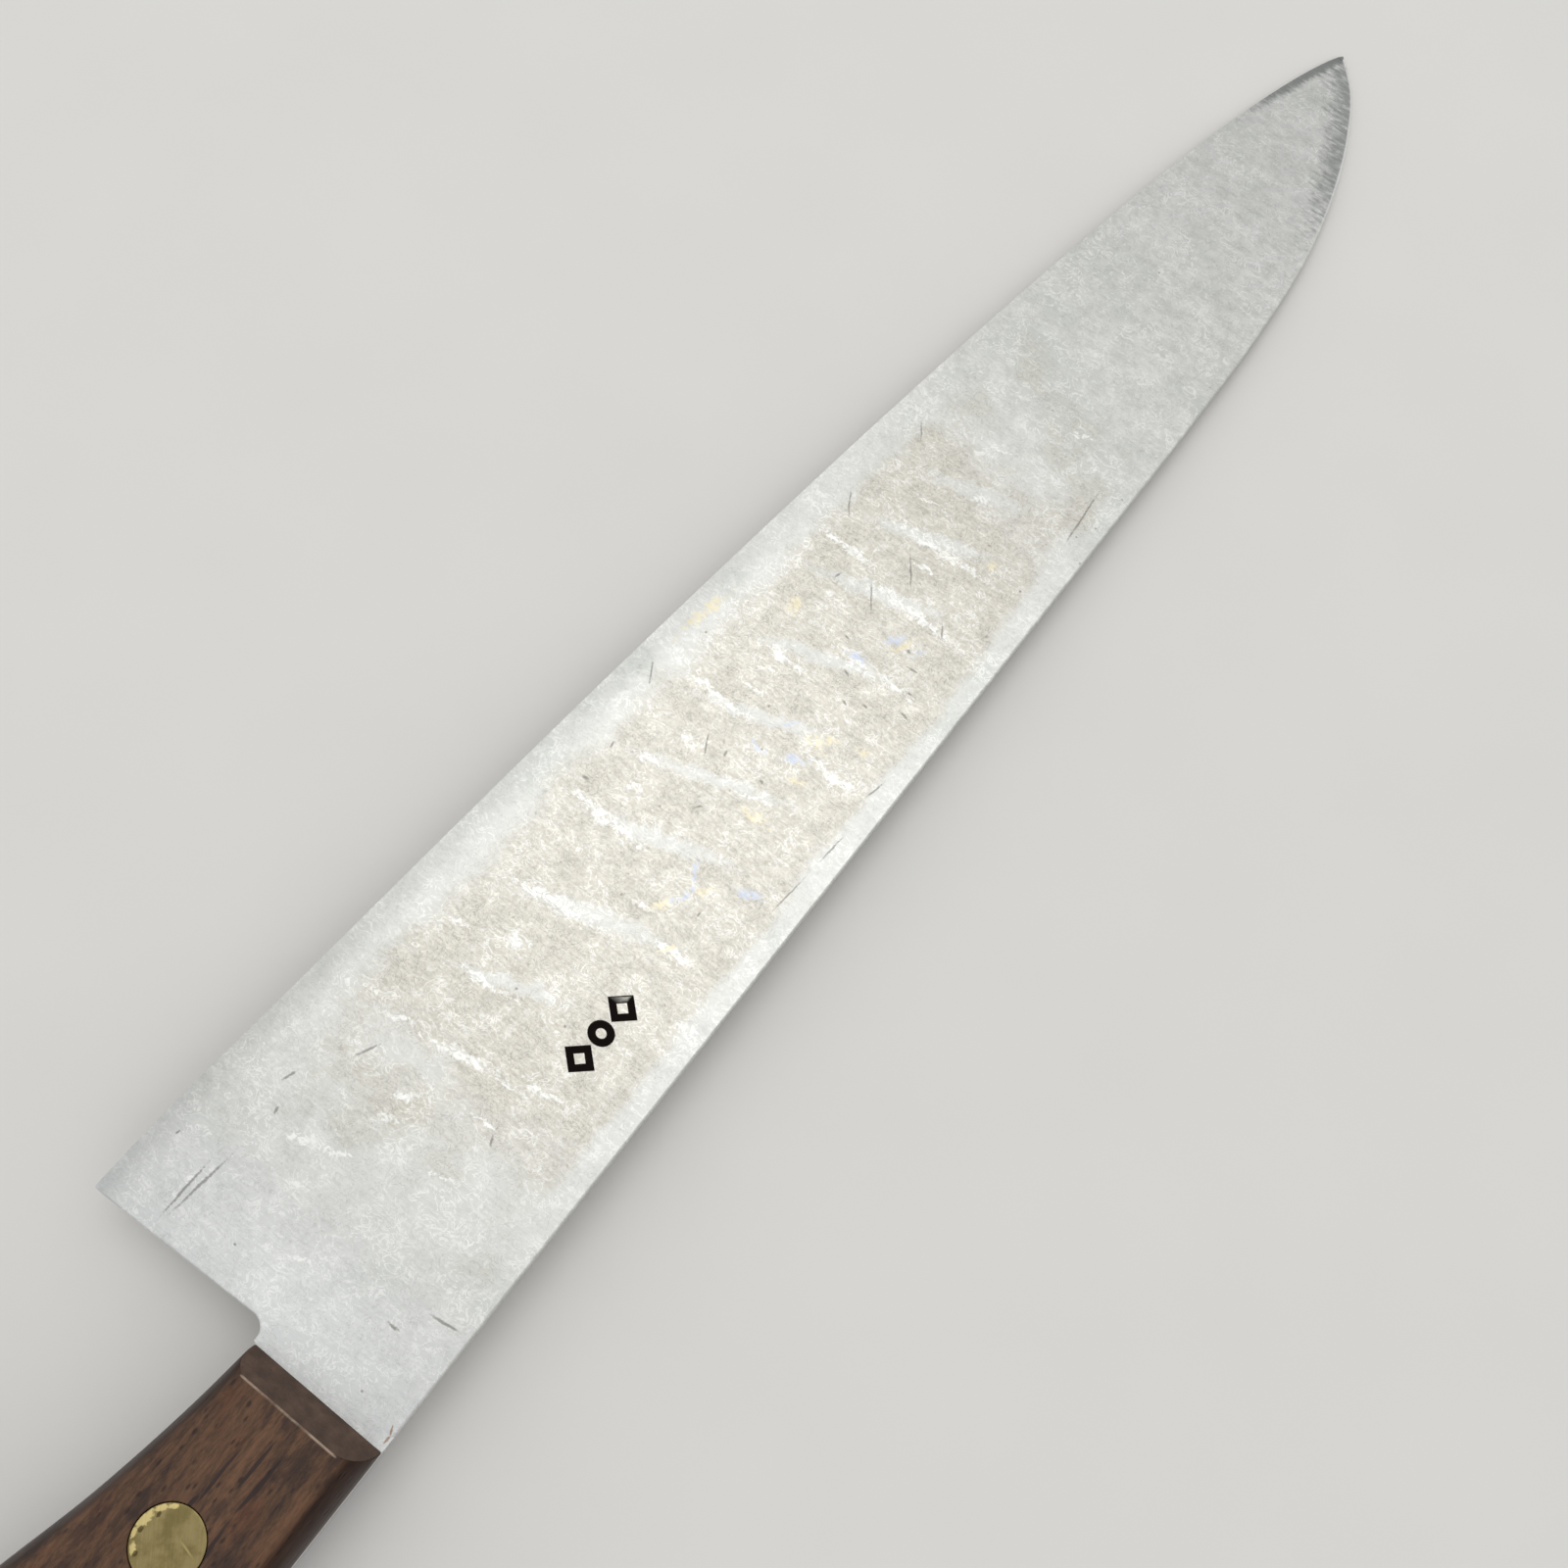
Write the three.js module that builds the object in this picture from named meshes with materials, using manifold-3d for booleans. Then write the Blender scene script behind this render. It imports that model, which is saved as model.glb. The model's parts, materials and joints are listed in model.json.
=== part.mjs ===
// Chef's knife, 240 mm, with a full tang between two wooden scales and three brass cutler's rivets.
// Millimetres. The knife's own frame has x from the handle joint towards the tip, y from the spine
// towards the cutting edge and z out of the left face. It lies on its right side, as it does on a
// table: the front edge of the lower scale and the tip touch the surface, so it is pitched a little.

import * as THREE from "three";
import { mergeVertices } from "three/addons/utils/BufferGeometryUtils.js";
import Module from "manifold-3d";

const wasm = await Module();
wasm.setup();

// Blade
const BLADE_LENGTH = 241;          // handle joint to tip, along the spine
const SPINE_HALF = 1.1;            // half the thickness at the spine, beside the handle
const DISTAL_TAPER = 0.00146;      // half-thickness lost per mm towards the tip
const GRIND_SLOPE = 0.0219;        // half-thickness lost per mm from spine to edge
const EDGE_HALF = 0.06;            // half the thickness left at the cutting edge
const BEVEL_WIDTH = 5;             // thinned band along the edge
const NECK_DEPTH = 19.5;           // spine to the inside corner behind the heel
const NECK_BLEND = 12;             // length over which the flat tang fades into the ground faces
const CHOIL_TOP = 1.1;             // x of the back of the heel at the edge
const CHOIL_FOOT = 2.2;            // x of the back of the heel beside the handle
const CHOIL_RADIUS = 2;

// Spine and edge: x, and depth below the line of the straight spine
const SPINE_LINE = smoothLine([[-2, 0], [150, 0], [170, 0.1], [190, 0.6], [206, 2.15], [219, 5.15],
  [229, 8.9], [236, 12.75], [240, 16.3], [BLADE_LENGTH, 17.2]]);
const EDGE_LINE = smoothLine([[-2, 46.1], [12, 45.65], [30, 44.4], [90, 40.1], [150, 34.4],
  [190, 29.3], [215, 25.15], [231, 21.3], [238, 18.95], [BLADE_LENGTH, 17.6]]);

// Handle
const HANDLE_LENGTH = 118;
const HANDLE_HALF = 8;             // tang centre to the outer face of a scale
const FRONT_RAKE = 0.29;           // how far the front face leans back, per mm of height
const BACK_ROUND_DEPTH = 4.2;      // rounding of the scales along the spine side
const BELLY_ROUND_DEPTH = 2.9;     // rounding along the belly side
const BUTT_ROUND_LENGTH = 15;      // length over which the outline closes at the butt
const BUTT_DROP_LENGTH = 4;        // length over which the outer face rolls down at the butt
const BUTT_DROP = 3.2;
const GLUE_LINE = 0.05;            // between the tang and each scale, and round each rivet
const BACK_LINE = smoothLine([[-118, 2.4], [-104, 1.1], [-80, 0.3], [-50, 0], [2, 0]]);
const BELLY_LINE = smoothLine([[-118, 30.2], [-106, 29.3], [-90, 27.1], [-72, 26.5], [-56, 27.7],
  [-44, 27.2], [-34, 25.2], [-22, 22.3], [-9, 20.1], [2, 18.9]]);

// Rivets: two halves, a socket from the left and a pin from the right
const RIVETS = [
  { name: "front", x: -19.4, y: 11.5 },
  { name: "middle", x: -58.5, y: 13.4 },
  { name: "rear", x: -97, y: 14 },
];
const HEAD_RADIUS = 4.15;
const HEAD_THICKNESS = 2.4;
const SLEEVE_RADIUS = 2.5;
const BORE_RADIUS = 1.6;
const RIVET_RECESS = 0.03;         // the heads sit this far below the wood
const SEGMENTS = 32;

const steel = new THREE.MeshStandardMaterial({ color: 0xc9c8c2, roughness: 0.42, metalness: 1 });
const rosewood = new THREE.MeshStandardMaterial({ color: 0x6b4638, roughness: 0.55, metalness: 0 });
const brass = new THREE.MeshStandardMaterial({ color: 0xa89a58, roughness: 0.38, metalness: 1 });

// A smooth curve through a few points, as a function of x
function smoothLine(points) {
  const xs = points.map((point) => point[0]);
  const ys = points.map((point) => point[1]);
  const curve = new THREE.CubicInterpolant(xs, ys, 1);
  return (x) => curve.evaluate(x)[0];
}

// Closed geometry to solid, and back
function toSolid(geometry) {
  const bare = geometry.clone();
  bare.deleteAttribute("normal");
  bare.deleteAttribute("uv");
  const merged = mergeVertices(bare, 1e-4);
  return new wasm.Manifold(new wasm.Mesh({
    numProp: 3,
    vertProperties: Float32Array.from(merged.attributes.position.array),
    triVerts: Uint32Array.from(merged.index.array),
  }));
}

function toGeometry(solid) {
  const mesh = solid.getMesh();
  const geometry = new THREE.BufferGeometry();
  geometry.setAttribute("position", new THREE.BufferAttribute(mesh.vertProperties, 3));
  geometry.setIndex(new THREE.BufferAttribute(mesh.triVerts, 1));
  geometry.computeVertexNormals();
  return geometry;
}

// A closed body through rings of points that all have the same count
function loft(rings) {
  const count = rings[0].length;
  const positions = rings.flat().flatMap((point) => point.toArray());
  const index = [];
  for (let ring = 0; ring + 1 < rings.length; ring += 1) {
    for (let side = 0; side < count; side += 1) {
      const here = ring * count + side;
      const next = ring * count + ((side + 1) % count);
      index.push(here, next, next + count, here, next + count, here + count);
    }
  }
  const last = (rings.length - 1) * count;
  for (let side = 1; side + 1 < count; side += 1) {
    index.push(0, side + 1, side);
    index.push(last, last + side, last + side + 1);
  }
  const geometry = new THREE.BufferGeometry();
  geometry.setAttribute("position", new THREE.Float32BufferAttribute(positions, 3));
  geometry.setIndex(index);
  return geometry;
}

function cylinderAt(x, y, radius, low, high) {
  const geometry = new THREE.CylinderGeometry(radius, radius, high - low, SEGMENTS);
  geometry.rotateX(Math.PI / 2);
  geometry.translate(x, y, (low + high) / 2);
  return toSolid(geometry);
}

// Half-thickness of the ground face: one true plane, fading into the flat tang above the neck
function groundHalf(x, y) {
  return SPINE_HALF - DISTAL_TAPER * x - GRIND_SLOPE * y;
}

function neckHalf(x, y) {
  const fade = THREE.MathUtils.smoothstep(x, 0, NECK_BLEND);
  return THREE.MathUtils.lerp(SPINE_HALF, groundHalf(x, y), fade);
}

function bladeSection(x) {
  const top = SPINE_LINE(x);
  const edge = EDGE_LINE(x);
  const height = edge - top;
  const neck = top + Math.min(NECK_DEPTH, height * 0.43);
  const shoulder = edge - Math.min(BEVEL_WIDTH, height * 0.4);
  const left = [
    [edge, EDGE_HALF],
    [shoulder, groundHalf(x, shoulder)],
    [neck, neckHalf(x, neck)],
    [top, neckHalf(x, top)],
  ];
  const right = left.map(([y, half]) => [y, -half]).reverse();
  return left.concat(right).map(([y, z]) => new THREE.Vector3(x, y, z));
}

// The blade before the heel is cut free: sections close together where the outline turns
function bladeBlank() {
  const stations = [-1, 0, 3, 6, 9];
  for (let x = NECK_BLEND; x < 192; x += 15) stations.push(x);
  for (let x = 192; x < 228; x += 6) stations.push(x);
  for (let x = 228; x < 239; x += 2.5) stations.push(x);
  stations.push(239.5, 240.4, BLADE_LENGTH);
  return toSolid(loft(stations.map(bladeSection)));
}

// The space behind the heel, with a filleted inside corner
function choilCutter() {
  const beyond = 60;
  const shape = new THREE.Shape();
  shape.moveTo(-10, NECK_DEPTH);
  shape.lineTo(CHOIL_FOOT - CHOIL_RADIUS, NECK_DEPTH);
  shape.absarc(CHOIL_FOOT - CHOIL_RADIUS, NECK_DEPTH + CHOIL_RADIUS, CHOIL_RADIUS, -Math.PI / 2, 0);
  shape.lineTo(CHOIL_TOP, EDGE_LINE(CHOIL_TOP));
  shape.lineTo(CHOIL_TOP, beyond);
  shape.lineTo(-10, beyond);
  const geometry = new THREE.ExtrudeGeometry(shape, { depth: 8, bevelEnabled: false, curveSegments: 6 });
  geometry.translate(0, 0, -4);
  return toSolid(geometry);
}

// Stations along the handle, closer together towards the rounded butt
function handleStations(front) {
  const stations = [front];
  for (let x = -8; x > BUTT_ROUND_LENGTH - HANDLE_LENGTH; x -= 7) stations.push(x);
  for (let step = 0; step <= 6; step += 1) {
    const turn = (step / 6) * 0.94 * Math.PI / 2;
    stations.push(BUTT_ROUND_LENGTH * (1 - Math.sin(turn)) - HANDLE_LENGTH);
  }
  return stations.reverse();
}

// Outline of the handle at x: the two long sides close in an elliptical arc at the butt
function handleSides(x) {
  const back = BACK_LINE(x);
  const belly = BELLY_LINE(x);
  const intoButt = Math.max(0, (BUTT_ROUND_LENGTH - HANDLE_LENGTH - x) / BUTT_ROUND_LENGTH);
  const width = Math.sqrt(Math.max(0, 1 - intoButt ** 2.6));
  const middle = (back + belly) / 2;
  return { back: middle + (back - middle) * width, belly: middle + (belly - middle) * width };
}

function tang() {
  const sides = handleStations(0).map((x) => ({ x, ...handleSides(x) }));
  const outline = sides.map(({ x, belly }) => new THREE.Vector2(x, belly));
  const wayBack = sides.map(({ x, back }) => new THREE.Vector2(x, back)).reverse();
  const shape = new THREE.Shape(outline.concat(wayBack));
  const geometry = new THREE.ExtrudeGeometry(shape, { depth: 2 * SPINE_HALF, bevelEnabled: false });
  geometry.translate(0, 0, -SPINE_HALF);
  return toSolid(geometry);
}

function blade() {
  let solid = bladeBlank().subtract(choilCutter()).add(tang());
  for (const rivet of RIVETS) {
    solid = solid.subtract(cylinderAt(rivet.x, rivet.y, SLEEVE_RADIUS + GLUE_LINE, -5, 5));
  }
  return toGeometry(solid);
}

// Section of the left scale: flat against the tang, rounded sides, flat outer face
function scaleSection(x) {
  const { back, belly } = handleSides(x);
  const inner = SPINE_HALF + GLUE_LINE;
  const intoButt = Math.max(0, (BUTT_DROP_LENGTH - HANDLE_LENGTH - x) / BUTT_DROP_LENGTH);
  const outer = HANDLE_HALF - BUTT_DROP * (1 - Math.sqrt(Math.max(0, 1 - intoButt ** 2)));
  const squeeze = Math.min(1, (belly - back) / (2.5 * BACK_ROUND_DEPTH));
  const steps = [0, 0.2, 0.4, 0.6, 0.8, 1];
  const rise = (part) => inner + (outer - inner) * Math.sin(part * Math.PI / 2);
  const inset = (part) => 1 - Math.cos(part * Math.PI / 2);
  const backSide = steps.map((part) => [back + BACK_ROUND_DEPTH * squeeze * inset(part), rise(part)]);
  const bellySide = steps.map((part) => [belly - BELLY_ROUND_DEPTH * squeeze * inset(part), rise(part)]);
  return bellySide.concat(backSide.reverse()).map(([y, z]) => new THREE.Vector3(x, y, z));
}

// Raked front cut: everything ahead of a plane that leans back as it rises
function frontCutter() {
  const size = 60;
  const geometry = new THREE.BoxGeometry(size, 2 * size, 2 * size);
  geometry.translate(size / 2, 0, 0);
  geometry.rotateY(-Math.atan(FRONT_RAKE));
  geometry.translate(-0.1, 0, SPINE_HALF);
  return toSolid(geometry);
}

function leftScale() {
  let solid = toSolid(loft(handleStations(1).map(scaleSection))).subtract(frontCutter());
  const seat = HANDLE_HALF - RIVET_RECESS - HEAD_THICKNESS - GLUE_LINE;
  for (const rivet of RIVETS) {
    solid = solid.subtract(cylinderAt(rivet.x, rivet.y, SLEEVE_RADIUS + GLUE_LINE, 0, 10));
    solid = solid.subtract(cylinderAt(rivet.x, rivet.y, HEAD_RADIUS + GLUE_LINE, seat, 10));
  }
  return solid;
}

// Lathe profile, radius and height, turned about the rivet's own axis along z
function turned(profile) {
  const points = profile.map(([radius, height]) => new THREE.Vector2(radius, height));
  return new THREE.LatheGeometry(points, SEGMENTS).rotateX(Math.PI / 2);
}

function rivetSocket() {
  const face = HANDLE_HALF - RIVET_RECESS;
  const underHead = face - HEAD_THICKNESS;
  const sleeveEnd = -underHead + 2 * GLUE_LINE;
  const boreEnd = underHead - 0.6;
  return turned([[0, boreEnd], [BORE_RADIUS, boreEnd], [BORE_RADIUS, sleeveEnd],
    [SLEEVE_RADIUS, sleeveEnd], [SLEEVE_RADIUS, underHead], [HEAD_RADIUS, underHead],
    [HEAD_RADIUS, face], [0, face]]);
}

function rivetPin() {
  const face = HANDLE_HALF - RIVET_RECESS;
  const underHead = face - HEAD_THICKNESS;
  const pinRadius = BORE_RADIUS - GLUE_LINE;
  const pinEnd = underHead - 0.9;
  return turned([[0, -face], [HEAD_RADIUS, -face], [HEAD_RADIUS, -underHead],
    [pinRadius, -underHead], [pinRadius, pinEnd], [0, pinEnd]]);
}

function piece(name, geometry, material) {
  const mesh = new THREE.Mesh(geometry, material);
  mesh.name = name;
  return mesh;
}

const knife = new THREE.Group();
knife.add(piece("blade", blade(), steel));
knife.add(piece("left_scale", toGeometry(leftScale()), rosewood));
knife.add(piece("right_scale", toGeometry(leftScale().mirror([0, 0, 1])), rosewood));

for (const rivet of RIVETS) {
  const socket = piece(`${rivet.name}_rivet_socket`, rivetSocket(), brass);
  const pin = piece(`${rivet.name}_rivet_pin`, rivetPin(), brass);
  for (const half of [socket, pin]) {
    half.position.set(rivet.x, rivet.y, 0);
    knife.add(half);
  }
}

// Resting pose: the lower front edge of the handle and the tip are at the same height
const frontEdgeX = -0.1 - FRONT_RAKE * (HANDLE_HALF - SPINE_HALF);
const tipHalf = groundHalf(BLADE_LENGTH, SPINE_LINE(BLADE_LENGTH));
knife.rotation.y = Math.atan2(HANDLE_HALF - tipHalf, BLADE_LENGTH - frontEdgeX);

// Origin: middle of the footprint, on the surface that the knife lies on
const part = new THREE.Group();
part.add(knife);
part.updateMatrixWorld(true);
const bounds = new THREE.Box3().setFromObject(part, true);
knife.position.x = -(bounds.min.x + bounds.max.x) / 2;
knife.position.y = -(bounds.min.y + bounds.max.y) / 2;
knife.position.z = -bounds.min.z;

export default part;
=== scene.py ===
import json
import math

import bmesh
import bpy
import numpy as np
from mathutils import Matrix, Vector
from mathutils.geometry import delaunay_2d_cdt


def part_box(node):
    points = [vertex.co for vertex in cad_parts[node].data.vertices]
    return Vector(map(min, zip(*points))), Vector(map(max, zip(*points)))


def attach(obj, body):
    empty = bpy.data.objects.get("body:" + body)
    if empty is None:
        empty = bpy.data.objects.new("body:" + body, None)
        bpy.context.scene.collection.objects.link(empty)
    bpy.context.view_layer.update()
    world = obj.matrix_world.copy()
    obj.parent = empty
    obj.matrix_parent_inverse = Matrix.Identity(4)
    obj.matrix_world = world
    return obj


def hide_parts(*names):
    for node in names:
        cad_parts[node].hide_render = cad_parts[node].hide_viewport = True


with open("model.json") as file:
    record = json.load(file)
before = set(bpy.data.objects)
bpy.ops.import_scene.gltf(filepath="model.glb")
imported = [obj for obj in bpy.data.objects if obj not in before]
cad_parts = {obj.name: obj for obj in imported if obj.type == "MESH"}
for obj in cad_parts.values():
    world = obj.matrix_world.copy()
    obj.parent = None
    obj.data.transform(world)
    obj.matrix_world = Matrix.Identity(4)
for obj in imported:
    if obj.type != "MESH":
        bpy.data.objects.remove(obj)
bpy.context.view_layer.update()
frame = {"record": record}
record = frame["record"]
mm = 0.001

# Chef's knife lying on its right side: a ground steel blade with a full tang, two rosewood scales and
# three brass cutler's rivets. Every shape is drawn in the knife's own frame, in mm: x from the handle
# joint to the tip, y from the spine to the cutting edge, z out of the left face.
# The flat face that the handle rests on is a mount of the record, and gives the pitch of the knife.
restingFace = next(mount for mount in record["mounts"] if mount["name"] == "right_scale_face")
restingPoint = Vector((-39, 12.5, -8))    # the same mount in the knife's own frame
knifeZ = -Vector(restingFace["axis"]).normalized()
knifeX = Vector((0, 1, 0)).cross(knifeZ)
turn = Matrix((knifeX, (0, 1, 0), knifeZ)).transposed()
knifeToRow = Matrix.Translation(Vector(restingFace["pos_m"]) - turn @ restingPoint * mm) @ turn.to_4x4()
knifeToRow = knifeToRow @ Matrix.Scale(mm, 4)
rowToKnife = knifeToRow.inverted()


def nodeMiddle(name):
    low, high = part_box(name)
    return rowToKnife @ ((low + high) / 2)


def toLinear(colour):
    channels = [int(colour[i:i + 2], 16) / 255 for i in (1, 3, 5)]
    return tuple(c / 12.92 if c <= 0.04045 else ((c + 0.055) / 1.055) ** 2.4 for c in channels) + (1,)


def smoothLine(points):
    # A smooth curve through a few (x, y) points, with no curvature at its ends
    xs = [point[0] for point in points]
    ys = [point[1] for point in points]
    last = len(points) - 1

    def heightAt(x):
        i = 1
        while i < last and x >= xs[i]:
            i += 1
        span = xs[i] - xs[i - 1]
        before, yBefore = (xs[i - 2], ys[i - 2]) if i > 1 else (xs[i], ys[i])
        after, yAfter = (xs[i + 1], ys[i + 1]) if i < last else (xs[i - 1], ys[i - 1])
        p = (x - xs[i - 1]) / span
        p2 = p * p
        p3 = p2 * p
        a = 0.5 * span / (xs[i - 1] - before)
        b = 0.5 * span / (after - xs[i])
        first = -a * p3 + 2 * a * p2 - a * p
        second = (1 + a) * p3 + (-1.5 - 2 * a) * p2 + (-0.5 + a) * p + 1
        third = (-1 - b) * p3 + (1.5 + b) * p2 + 0.5 * p
        fourth = b * p3 - b * p2
        return first * yBefore + second * ys[i - 1] + third * ys[i] + fourth * yAfter

    return heightAt


def mix(a, b, part):
    return a + (b - a) * part


def smoothStep(x, low, high):
    part = min(1, max(0, (x - low) / (high - low)))
    return part * part * (3 - 2 * part)


def steps(start, end, count):
    return [mix(start, end, i / count) for i in range(count + 1)]


def quarterTurn(count):
    # Sine and cosine from 0 to 90 degrees
    return [(math.sin(part * math.pi / 2), math.cos(part * math.pi / 2)) for part in steps(0, 1, count)]


def addObject(name, data):
    item = bpy.data.objects.new(name, data)
    bpy.context.scene.collection.objects.link(item)
    return item


def addNode(tree, kind, settings=None, inputs=None):
    # One shader node: its properties, then its sockets, each linked or given a number or hex colour
    node = tree.nodes.new("ShaderNode" + kind)
    for name, value in (settings or {}).items():
        if name == "stops":
            ramp = node.color_ramp.elements
            while len(ramp) < len(value):
                ramp.new(1)
            for stop, (place, colour) in zip(ramp, value):
                stop.position = place
                stop.color = toLinear(colour)
        else:
            setattr(node, name, value)
    for name, value in (inputs or {}).items():
        if isinstance(value, bpy.types.NodeSocket):
            tree.links.new(value, node.inputs[name])
        else:
            node.inputs[name].default_value = toLinear(value) if isinstance(value, str) else value
    return node.outputs[2] if kind == "Mix" and node.data_type == "RGBA" else node.outputs[0]


def newMaterial(name):
    material = bpy.data.materials.new(name)
    material.use_nodes = True
    tree = material.node_tree
    tree.nodes.clear()
    return material, tree


def closeMaterial(tree, settings):
    shader = addNode(tree, "BsdfPrincipled", {}, settings)
    output = tree.nodes.new("ShaderNodeOutputMaterial")
    tree.links.new(shader, output.inputs[0])


def readAttribute(tree, name, output="Fac"):
    return addNode(tree, "Attribute", {"attribute_name": name}).node.outputs[output]


def maths(tree, operation, a, b=0):
    return addNode(tree, "Math", {"operation": operation}, {0: a, 1: b})


def plus(tree, a, b):
    return maths(tree, "ADD", a, b)


def minus(tree, a, b):
    return maths(tree, "SUBTRACT", a, b)


def times(tree, a, b):
    return maths(tree, "MULTIPLY", a, b)


def vectorMaths(tree, operation, a, b):
    return addNode(tree, "VectorMath", {"operation": operation},
                   {0: a, "Scale" if operation == "SCALE" else 1: b})


def blendColour(tree, factor, under, over, how="MIX"):
    return addNode(tree, "Mix", {"data_type": "RGBA", "blend_type": how}, {0: factor, 6: under, 7: over})


def pattern(tree, at, size, stretch=(1, 1, 1), detail=3, rough=0.5, offset=(0, 0, 0), distortion=0):
    # Cloudy noise whose features are about `size` mm across, drawn out by `stretch`
    scale = tuple(1 / (size * s) for s in stretch)
    placed = addNode(tree, "Mapping", {}, {"Vector": at, "Location": offset, "Scale": scale})
    return addNode(tree, "TexNoise", {}, {"Vector": placed, "Scale": 1, "Detail": detail,
                                          "Roughness": rough, "Distortion": distortion})


def remap(tree, value, low, high, lowTo=0, highTo=1):
    return addNode(tree, "MapRange", {"interpolation_type": "SMOOTHSTEP"},
                   {"Value": value, "From Min": low, "From Max": high, "To Min": lowTo, "To Max": highTo})


def strokeMask(tree, at, marks):
    # Spindle-shaped marks, strongest along the middle: each is x, y to x, y and the width, in mm
    total = None
    for x0, y0, x1, y1, width in marks:
        middle = ((x0 + x1) / 2, (y0 + y1) / 2, 0)
        half = math.hypot(x1 - x0, y1 - y0) / 2 + width / 2
        placed = addNode(tree, "Mapping", {"vector_type": "TEXTURE"}, {
            "Vector": at, "Location": middle, "Rotation": (0, 0, math.atan2(y1 - y0, x1 - x0)),
            "Scale": (half, width / 2, 1000)})
        mark = addNode(tree, "TexGradient", {"gradient_type": "SPHERICAL"}, {0: placed}).node.outputs["Fac"]
        total = mark if total is None else maths(tree, "MAXIMUM", total, mark)
    return total


def distanceTo(chain, points):
    # Shortest distance in the xy plane from each point to a chain of points
    chain = np.array([(p[0], p[1]) for p in chain], float)
    start, step = chain[:-1], chain[1:] - chain[:-1]
    lengths = np.maximum((step ** 2).sum(1), 1e-12)
    away = points[:, None, :2] - start[None]
    along = np.clip((away * step).sum(2) / lengths, 0, 1)
    gap = away - along[..., None] * step
    return np.sqrt((gap ** 2).sum(2)).min(1)


def insideOf(loop, points):
    # Even-odd test of each point against a closed outline
    inside = np.zeros(len(points), bool)
    x, y = points[:, 0], points[:, 1]
    for (x0, y0), (x1, y1) in zip(loop, loop[1:] + loop[:1]):
        if y0 != y1:
            crosses = (y0 > y) != (y1 > y)
            inside ^= crosses & (x < x0 + (y - y0) * (x1 - x0) / (y1 - y0))
    return inside


def storeNumbers(mesh, name, values):
    attribute = mesh.attributes.new(name, "FLOAT", "POINT")
    attribute.data.foreach_set("value", np.asarray(values, np.float32))


def finishPiece(mesh, name, node, materials, sharpAbove=35):
    # Keeps each point's place in the knife for the materials, then puts the mesh in the row frame
    places = np.zeros(len(mesh.vertices) * 3, np.float32)
    mesh.vertices.foreach_get("co", places)
    attribute = mesh.attributes.new("atKnife", "FLOAT_VECTOR", "POINT")
    attribute.data.foreach_set("vector", places)
    mesh.transform(knifeToRow)
    mesh.shade_smooth()
    mesh.set_sharp_from_angle(angle=math.radians(sharpAbove))
    for i, material in enumerate(materials):
        if i < len(mesh.materials):
            mesh.materials[i] = material
        else:
            mesh.materials.append(material)
    piece = addObject(name, mesh)
    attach(piece, "root")
    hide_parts(node)


# The camera stands over the handle and looks along the left face towards the tip
cameraSettings = {
    "place": (36.09, -11.74, 195.80),    # in the knife's frame
    "aim": (91.52, 12.94, 0),
    "top": (0.745, 0.602, 0.287),
    "lens": 36,
    "sensor": 36,
}


def makeCamera(settings):
    data = bpy.data.cameras.new("studioCamera")
    data.lens = settings["lens"]
    data.sensor_width = settings["sensor"]
    camera = addObject("studioCamera", data)
    place = knifeToRow @ Vector(settings["place"])
    back = (place - knifeToRow @ Vector(settings["aim"])).normalized()
    right = (turn @ Vector(settings["top"])).cross(back).normalized()
    facing = Matrix((right, back.cross(right), back)).transposed()
    camera.matrix_world = Matrix.Translation(place) @ facing.to_4x4()
    bpy.context.scene.camera = camera


makeCamera(cameraSettings)
print("camera in place")

# The handle outline is shared by the tang and the two scales
handle = {
    "length": 118,
    "half": 8,                 # tang centre to the outer face of a scale
    "rake": 0.29,              # how far the front face leans back, per mm of height
    "backRound": 4.2,
    "bellyRound": 2.9,
    "buttRound": 15,           # length over which the outline closes
    "buttDrop": 3.2,
    "buttDropLength": 4.92,
    "buttTurn": 0.94,          # share of the closing quarter turn that the last section reaches
    "glueLine": 0.05,
    "frontBevel": 0.14,        # the arris at the front of the outer face is just broken
    "sideSteps": 14,
    "flatSteps": 10,
}
backLine = smoothLine([(-118, 2.4), (-104, 1.1), (-80, 0.3), (-50, 0), (2, 0)])
bellyLine = smoothLine([(-118, 30.2), (-106, 29.3), (-90, 27.1), (-72, 26.5), (-56, 27.7), (-44, 27.2),
                        (-34, 25.2), (-22, 22.3), (-9, 20.1), (2, 18.9)])


def handleSides(x):
    back, belly = backLine(x), bellyLine(x)
    intoButt = max(0, (handle["buttRound"] - handle["length"] - x) / handle["buttRound"])
    width = math.sqrt(max(0, 1 - intoButt ** 2.6))
    middle = (back + belly) / 2
    return middle + (back - middle) * width, middle + (belly - middle) * width


def handleStations(front, spacing):
    start = handle["buttRound"] - handle["length"]
    count = round((front - start) / spacing)
    stations = steps(front, start, count)
    for part in steps(0, handle["buttTurn"], 16)[1:]:
        stations.append(start - handle["buttRound"] * math.sin(part * math.pi / 2))
    return stations


# The blade and its tang are one piece of steel
bladeSize = {
    "spineHalf": 1.1,
    "distalTaper": 0.00146,    # half-thickness lost per mm towards the tip
    "grindSlope": 0.0219,      # half-thickness lost per mm from spine to edge
    "edgeHalf": 0.06,
    "bevelWidth": 5,
    "neckDepth": 19.5,
    "neckBlend": 12,
    "choilTop": 1.1,
    "choilFoot": 2.2,
    "choilRadius": 2,
    "spineRound": 0.25,        # the spine's corners are eased
    "heelRound": 0.12,
    "stampDepth": 0.13,
    "stampWall": 0.08,
    "boreSteps": 48,
    "meshStep": 1.7,
}
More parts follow.
